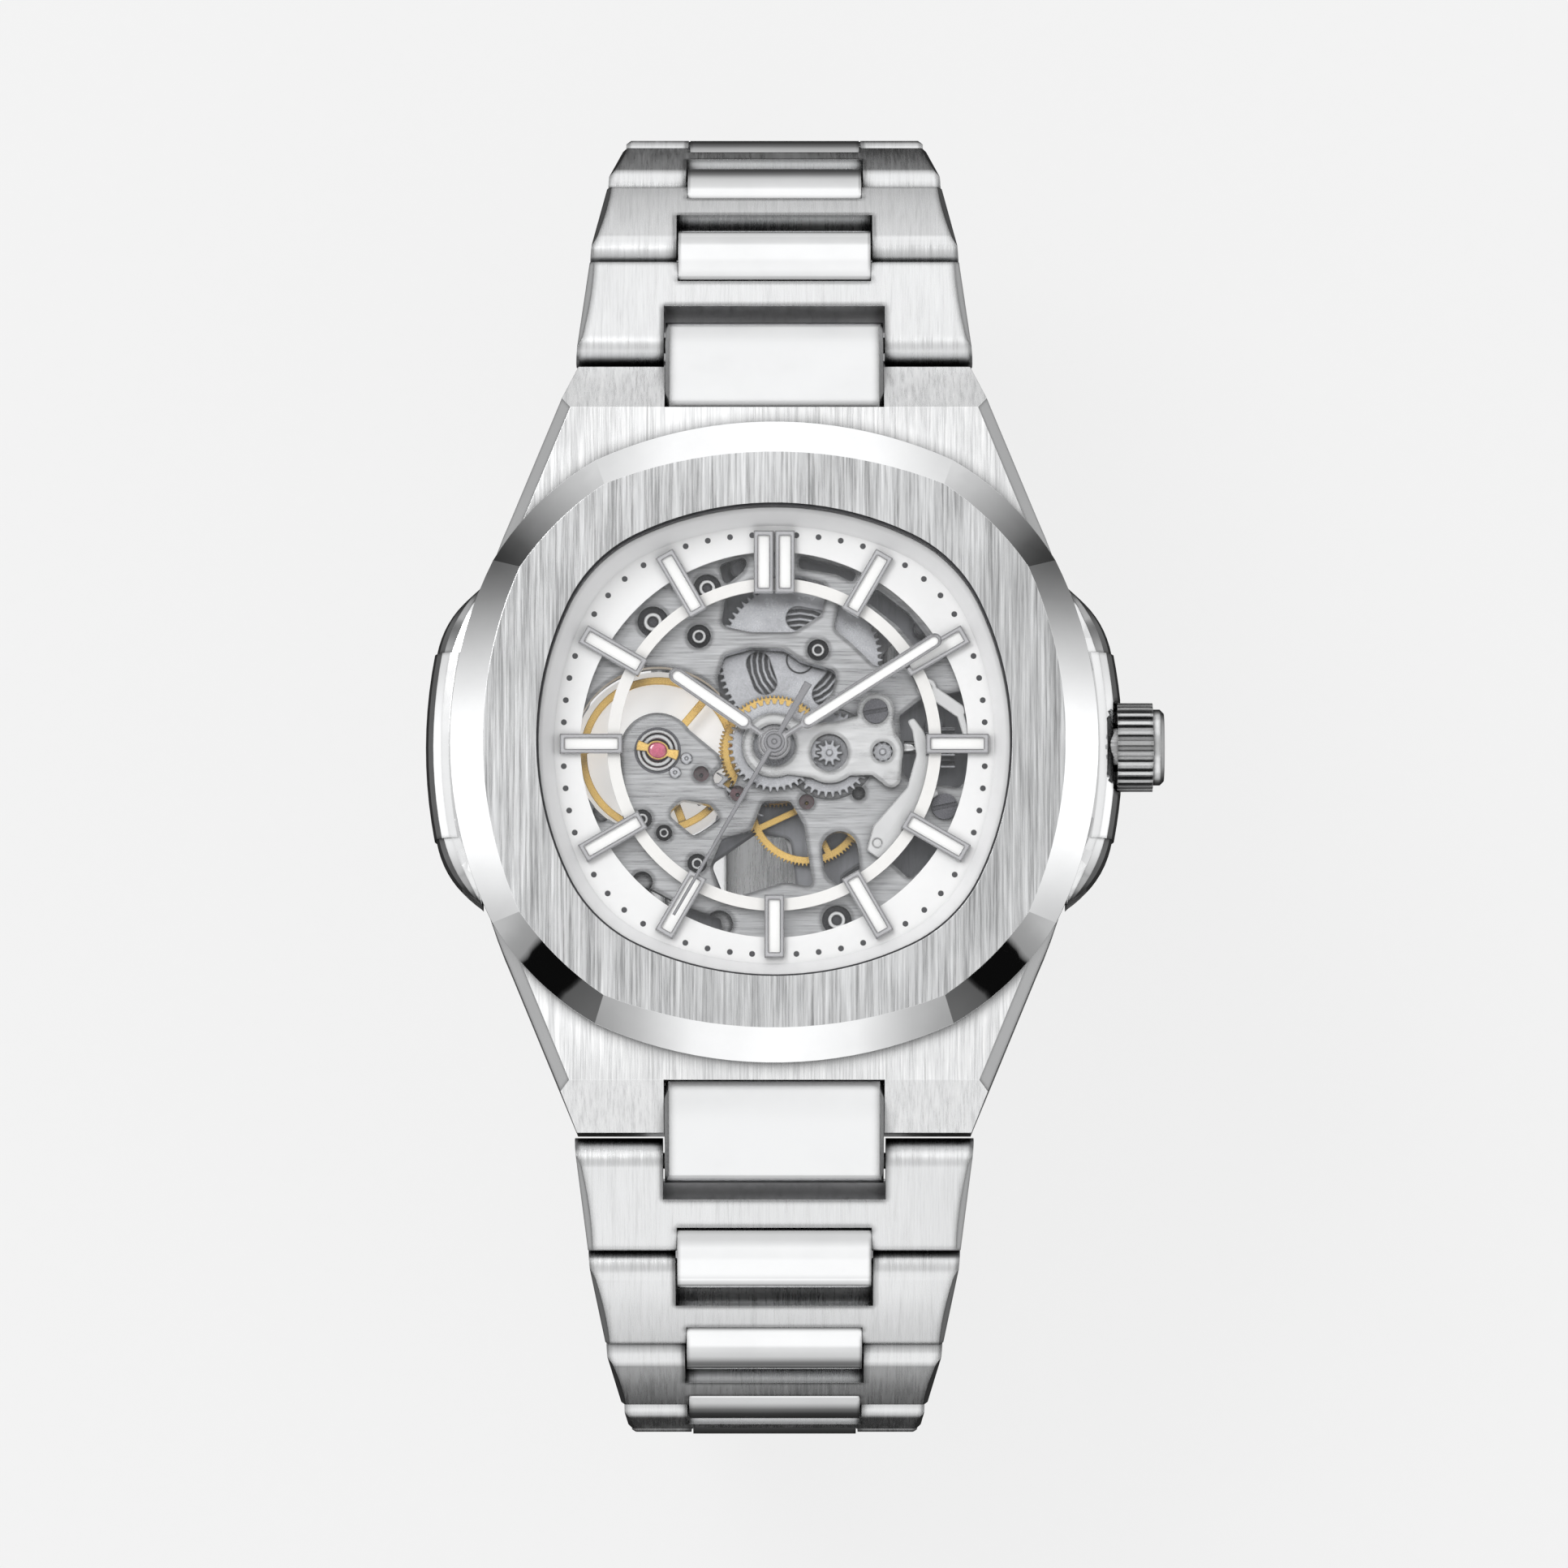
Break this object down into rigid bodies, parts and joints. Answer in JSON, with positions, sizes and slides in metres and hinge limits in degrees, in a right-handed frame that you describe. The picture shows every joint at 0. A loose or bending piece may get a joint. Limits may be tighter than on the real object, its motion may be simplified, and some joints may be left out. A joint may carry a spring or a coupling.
{
  "type": "skeleton wristwatch",
  "caption": "Skeleton wristwatch: octagonal steel case, open dial over a geared movement, linked steel bracelet with folding clasp",
  "frame": {"origin": "on the hands' axis at the outer face of the back crystal, where the case lies on the wrist", "axes": "+Z points out through the dial, +Y towards 12 o'clock, +X towards the crown at 3 o'clock"},
  "size_m": [0.0455, 0.0826, 0.054],
  "materials": {
    "brushed_steel": "satin lengthwise brushed",
    "polished_steel": "mirror polished",
    "crystal": "clear",
    "gasket": "matt",
    "light_ring": "fine matt lacquer",
    "hand_steel": "polished",
    "movement_grey": "rhodium, straight grained",
    "gear_gold": "gilt",
    "movement_steel": "polished",
    "ruby": "polished"
  },
  "bodies": {
    "case": {"mid_case": "brushed_steel", "bezel": "brushed_steel", "crystal_front": "crystal", "case_seals": "gasket", "flange_ring": "light_ring", "case_back": "brushed_steel", "crystal_back": "crystal", "screws": "hand_steel", "movement_holder": "light_ring", "end_links": "polished_steel", "dial_ring": "light_ring", "hour_markers": "hand_steel", "main_plate": "movement_grey", "jewels": "ruby", "movement_bridges": "movement_grey", "motion_cover": "movement_grey", "barrel_arbor": "movement_steel"},
    "barrel": {"barrel": "gear_gold", "mainspring": "movement_steel"},
    "centre": {"centre_wheel": "gear_gold", "minute_hand": "hand_steel"},
    "third": {"third_wheel": "gear_gold"},
    "fourth": {"fourth_wheel": "gear_gold", "seconds_hand": "hand_steel"},
    "escape": {"escape_wheel": "gear_gold"},
    "fork": {"pallet_fork": "movement_steel"},
    "balance": {"balance_wheel": "gear_gold", "hairspring": "movement_steel"},
    "minute_work": {"minute_wheel": "gear_gold"},
    "setting": {"setting_wheel": "movement_steel"},
    "hour": {"hour_wheel": "gear_gold", "hour_hand": "hand_steel"},
    "rotor": {"rotor": "movement_grey"},
    "crown_seal": {"crown_seal": "gasket"},
    "crown": {"crown": "polished_steel"},
    "clutch": {"sliding_clutch": "movement_steel"},
    "winding_pinion": {"winding_pinion": "movement_steel"},
    "yoke": {"yoke": "movement_steel"},
    "setting_lever": {"setting_lever": "movement_steel"},
    "link_12_1": {"row_12_1": "brushed_steel"},
    "link_12_2": {"row_12_2": "brushed_steel"},
    "link_12_3": {"row_12_3": "brushed_steel"},
    "link_12_4": {"row_12_4": "brushed_steel"},
    "link_12_5": {"row_12_5": "brushed_steel"},
    "link_12_6": {"row_12_6": "brushed_steel"},
    "link_12_7": {"row_12_7": "brushed_steel"},
    "link_12_8": {"row_12_8": "brushed_steel"},
    "link_6_1": {"row_6_1": "brushed_steel"},
    "link_6_2": {"row_6_2": "brushed_steel"},
    "link_6_3": {"row_6_3": "brushed_steel"},
    "link_6_4": {"row_6_4": "brushed_steel"},
    "link_6_5": {"row_6_5": "brushed_steel"},
    "link_6_6": {"row_6_6": "brushed_steel"},
    "link_6_7": {"row_6_7": "brushed_steel"},
    "link_6_8": {"row_6_8": "brushed_steel"},
    "clasp_cover": {"clasp_cover": "brushed_steel"},
    "middle_blade": {"middle_blade": "polished_steel"},
    "inner_blade": {"inner_blade": "polished_steel"},
    "button_right": {"clasp_button_right": "polished_steel"},
    "button_left": {"clasp_button_left": "polished_steel"}
  },
  "joints": [
    {"name": "seconds_turn", "type": "hinge", "parent": "case", "child": "fourth", "pos_m": [0, 0, 0.00306], "axis": [0, 0, -1], "continuous": true},
    {"name": "third_turn", "type": "hinge", "parent": "case", "child": "third", "pos_m": [0.002, -0.00342, 0.0034], "axis": [0, 0, -1], "continuous": true},
    {"name": "minute_turn", "type": "hinge", "parent": "case", "child": "centre", "pos_m": [0, 0, 0.0045], "axis": [0, 0, -1], "continuous": true},
    {"name": "barrel_turn", "type": "hinge", "parent": "case", "child": "barrel", "pos_m": [0.0016, 0.0056, 0.0042], "axis": [0, 0, -1], "continuous": true},
    {"name": "escape_turn", "type": "hinge", "parent": "case", "child": "escape", "pos_m": [-0.00227, -0.0029, 0.0041], "axis": [0, 0, -1], "continuous": true},
    {"name": "minute_wheel_turn", "type": "hinge", "parent": "case", "child": "minute_work", "pos_m": [0.0034, -0.00045, 0.00645], "axis": [0, 0, -1], "continuous": true},
    {"name": "setting_wheel_turn", "type": "hinge", "parent": "case", "child": "setting", "pos_m": [0.00668, -0.0004, 0.0066], "axis": [0, 0, -1], "continuous": true},
    {"name": "hour_turn", "type": "hinge", "parent": "case", "child": "hour", "pos_m": [0, 0, 0.0068], "axis": [0, 0, -1], "continuous": true},
    {"name": "fork_swing", "type": "hinge", "parent": "case", "child": "fork", "pos_m": [-0.00451, -0.00169, 0.0041], "axis": [0, 0, -1], "range_deg": [-5, 5]},
    {"name": "balance_swing", "type": "hinge", "parent": "case", "child": "balance", "pos_m": [-0.0072, -0.00025, 0.0035], "axis": [0, 0, -1], "range_deg": [-270, 270], "stiffness_Nm_per_rad": 0.0000009, "deforming": ["hairspring"]},
    {"name": "rotor_turn", "type": "hinge", "parent": "case", "child": "rotor", "pos_m": [0, 0, 0.002], "axis": [0, 0, 1], "continuous": true},
    {"name": "crown_pull", "type": "slide", "parent": "case", "child": "crown_seal", "axis": [1, 0, 0], "range_m": [0, 0.001]},
    {"name": "crown_turn", "type": "hinge", "parent": "crown_seal", "child": "crown", "pos_m": [0.022, 0, 0.00565], "axis": [1, 0, 0], "continuous": true},
    {"name": "clutch_slide", "type": "slide", "parent": "crown", "child": "clutch", "axis": [1, 0, 0], "range_m": [-0.0015, 0]},
    {"name": "winding_pinion_turn", "type": "hinge", "parent": "case", "child": "winding_pinion", "pos_m": [0.0107, 0, 0.00565], "axis": [1, 0, 0], "continuous": true},
    {"name": "yoke_swing", "type": "hinge", "parent": "case", "child": "yoke", "pos_m": [0.00635, -0.00605, 0.0069], "axis": [0, 0, 1], "range_deg": [0, 4.75]},
    {"name": "setting_lever_swing", "type": "hinge", "parent": "case", "child": "setting_lever", "pos_m": [0.0094, 0.0036, 0.0064], "axis": [0, 0, 1], "range_deg": [0, 9.6]},
    {"name": "link_12_1_hinge", "type": "hinge", "parent": "case", "child": "link_12_1", "pos_m": [0, 0.0254, 0.0032], "axis": [1, 0, 0], "range_deg": [0, 17]},
    {"name": "link_12_2_hinge", "type": "hinge", "parent": "link_12_1", "child": "link_12_2", "pos_m": [0, 0.03173, -0.00002], "axis": [1, 0, 0], "range_deg": [0, 17]},
    {"name": "link_12_3_hinge", "type": "hinge", "parent": "link_12_2", "child": "link_12_3", "pos_m": [0, 0.03648, -0.0053], "axis": [1, 0, 0], "range_deg": [0, 17]},
    {"name": "link_12_4_hinge", "type": "hinge", "parent": "link_12_3", "child": "link_12_4", "pos_m": [0, 0.03925, -0.01184], "axis": [1, 0, 0], "range_deg": [0, 17]},
    {"name": "link_12_5_hinge", "type": "hinge", "parent": "link_12_4", "child": "link_12_5", "pos_m": [0, 0.03975, -0.01892], "axis": [1, 0, 0], "range_deg": [0, 17]},
    {"name": "link_12_6_hinge", "type": "hinge", "parent": "link_12_5", "child": "link_12_6", "pos_m": [0, 0.03815, -0.02584], "axis": [1, 0, 0], "range_deg": [0, 17]},
    {"name": "link_12_7_hinge", "type": "hinge", "parent": "link_12_6", "child": "link_12_7", "pos_m": [0, 0.0346, -0.03198], "axis": [1, 0, 0], "range_deg": [0, 17]},
    {"name": "link_12_8_hinge", "type": "hinge", "parent": "link_12_7", "child": "link_12_8", "pos_m": [0, 0.02932, -0.03674], "axis": [1, 0, 0], "range_deg": [0, 17]},
    {"name": "link_6_1_hinge", "type": "hinge", "parent": "case", "child": "link_6_1", "pos_m": [0, -0.0254, 0.0032], "axis": [-1, 0, 0], "range_deg": [0, 17]},
    {"name": "link_6_2_hinge", "type": "hinge", "parent": "link_6_1", "child": "link_6_2", "pos_m": [0, -0.03173, -0.00002], "axis": [-1, 0, 0], "range_deg": [0, 17]},
    {"name": "link_6_3_hinge", "type": "hinge", "parent": "link_6_2", "child": "link_6_3", "pos_m": [0, -0.03648, -0.0053], "axis": [-1, 0, 0], "range_deg": [0, 17]},
    {"name": "link_6_4_hinge", "type": "hinge", "parent": "link_6_3", "child": "link_6_4", "pos_m": [0, -0.03925, -0.01184], "axis": [-1, 0, 0], "range_deg": [0, 17]},
    {"name": "link_6_5_hinge", "type": "hinge", "parent": "link_6_4", "child": "link_6_5", "pos_m": [0, -0.03975, -0.01892], "axis": [-1, 0, 0], "range_deg": [0, 17]},
    {"name": "link_6_6_hinge", "type": "hinge", "parent": "link_6_5", "child": "link_6_6", "pos_m": [0, -0.03815, -0.02584], "axis": [-1, 0, 0], "range_deg": [0, 17]},
    {"name": "link_6_7_hinge", "type": "hinge", "parent": "link_6_6", "child": "link_6_7", "pos_m": [0, -0.0346, -0.03198], "axis": [-1, 0, 0], "range_deg": [0, 17]},
    {"name": "link_6_8_hinge", "type": "hinge", "parent": "link_6_7", "child": "link_6_8", "pos_m": [0, -0.02932, -0.03674], "axis": [-1, 0, 0], "range_deg": [0, 17]},
    {"name": "clasp_cover_hinge", "type": "hinge", "parent": "link_12_8", "child": "clasp_cover", "pos_m": [0, 0.02279, -0.03951], "axis": [1, 0, 0], "range_deg": [0, 25]},
    {"name": "middle_blade_hinge", "type": "hinge", "parent": "clasp_cover", "child": "middle_blade", "pos_m": [0, -0.0165, -0.04097], "axis": [1, 0, 0], "range_deg": [0, 90]},
    {"name": "inner_blade_hinge", "type": "hinge", "parent": "middle_blade", "child": "inner_blade", "pos_m": [0, 0.0155, -0.04052], "axis": [-1, 0, 0], "range_deg": [0, 60]},
    {"name": "button_right_press", "type": "slide", "parent": "clasp_cover", "child": "button_right", "axis": [-1, 0, 0], "range_m": [0, 0.0005], "stiffness_N_per_m": 400},
    {"name": "button_left_press", "type": "slide", "parent": "clasp_cover", "child": "button_left", "axis": [1, 0, 0], "range_m": [0, 0.0005], "stiffness_N_per_m": 400}
  ],
  "couplings": [
    {"joint": "third_turn", "follows": "seconds_turn", "ratio": -0.083333},
    {"joint": "minute_turn", "follows": "seconds_turn", "ratio": 0.016667},
    {"joint": "barrel_turn", "follows": "seconds_turn", "ratio": -0.0027778},
    {"joint": "escape_turn", "follows": "seconds_turn", "ratio": -12},
    {"joint": "minute_wheel_turn", "follows": "seconds_turn", "ratio": -0.0055556},
    {"joint": "setting_wheel_turn", "follows": "seconds_turn", "ratio": 0.02},
    {"joint": "hour_turn", "follows": "seconds_turn", "ratio": 0.0013889},
    {"joint": "clutch_slide", "follows": "crown_pull", "ratio": -1.5},
    {"joint": "winding_pinion_turn", "follows": "crown_turn", "ratio": 1},
    {"joint": "yoke_swing", "follows": "crown_pull", "rad_per_m": 82.8},
    {"joint": "setting_lever_swing", "follows": "crown_pull", "rad_per_m": 166}
  ]
}
